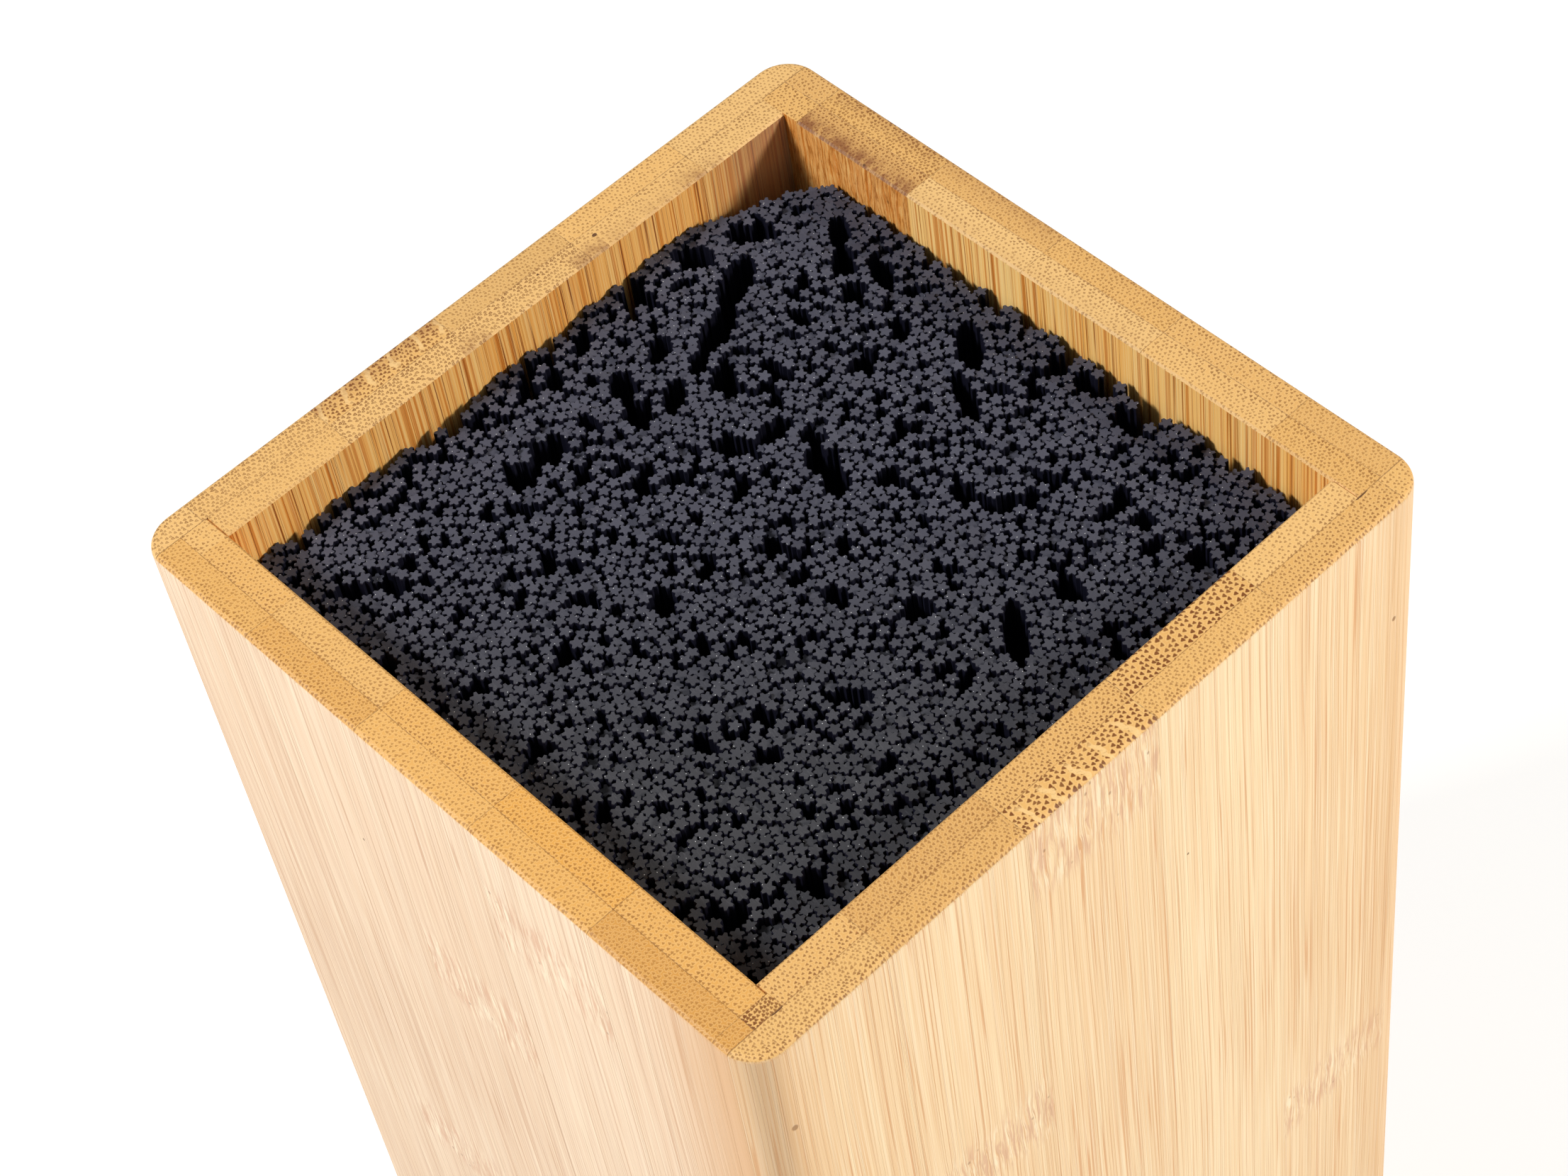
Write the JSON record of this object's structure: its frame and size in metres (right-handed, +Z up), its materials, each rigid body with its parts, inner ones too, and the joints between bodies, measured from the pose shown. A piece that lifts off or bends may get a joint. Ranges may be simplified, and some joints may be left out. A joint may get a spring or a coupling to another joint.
{
  "type": "universal knife block",
  "caption": "Square bamboo knife block, open at the top, holding an insert of upright flexible rods that knives are pushed between.",
  "frame": {"origin": "middle of the underside of the feet, where the block stands", "axes": "+Z up, -Y towards the front of the block, +X to its right seen from the front"},
  "size_m": [0.11, 0.11, 0.225],
  "materials": {
    "bamboo": "satin",
    "foot_rubber": "matte",
    "plate_plastic": "matte",
    "rod_plastic": "matte"
  },
  "bodies": {
    "block": {"front_wall_outer_ply": "bamboo", "front_wall_inner_ply": "bamboo", "back_wall_outer_ply": "bamboo", "back_wall_inner_ply": "bamboo", "left_wall_outer_ply": "bamboo", "left_wall_inner_ply": "bamboo", "right_wall_outer_ply": "bamboo", "right_wall_inner_ply": "bamboo", "base_panel_lower_ply": "bamboo", "base_panel_upper_ply": "bamboo", "rubber_foot_front_left": "foot_rubber", "rubber_foot_front_right": "foot_rubber", "rubber_foot_back_left": "foot_rubber", "rubber_foot_back_right": "foot_rubber"},
    "insert": {"insert_plate": "plate_plastic", "rods_a1": "rod_plastic", "rods_a2": "rod_plastic", "rods_a3": "rod_plastic", "rods_a4": "rod_plastic", "rods_b1": "rod_plastic", "rods_b2": "rod_plastic", "rods_b3": "rod_plastic", "rods_b4": "rod_plastic", "rods_c1": "rod_plastic", "rods_c2": "rod_plastic", "rods_c3": "rod_plastic", "rods_c4": "rod_plastic", "rods_d1": "rod_plastic", "rods_d2": "rod_plastic", "rods_d3": "rod_plastic", "rods_d4": "rod_plastic"}
  },
  "joints": [
    {"name": "insert_lift", "type": "slide", "parent": "block", "child": "insert", "axis": [0, 0, 1], "range_m": [0, 0.22]}
  ]
}
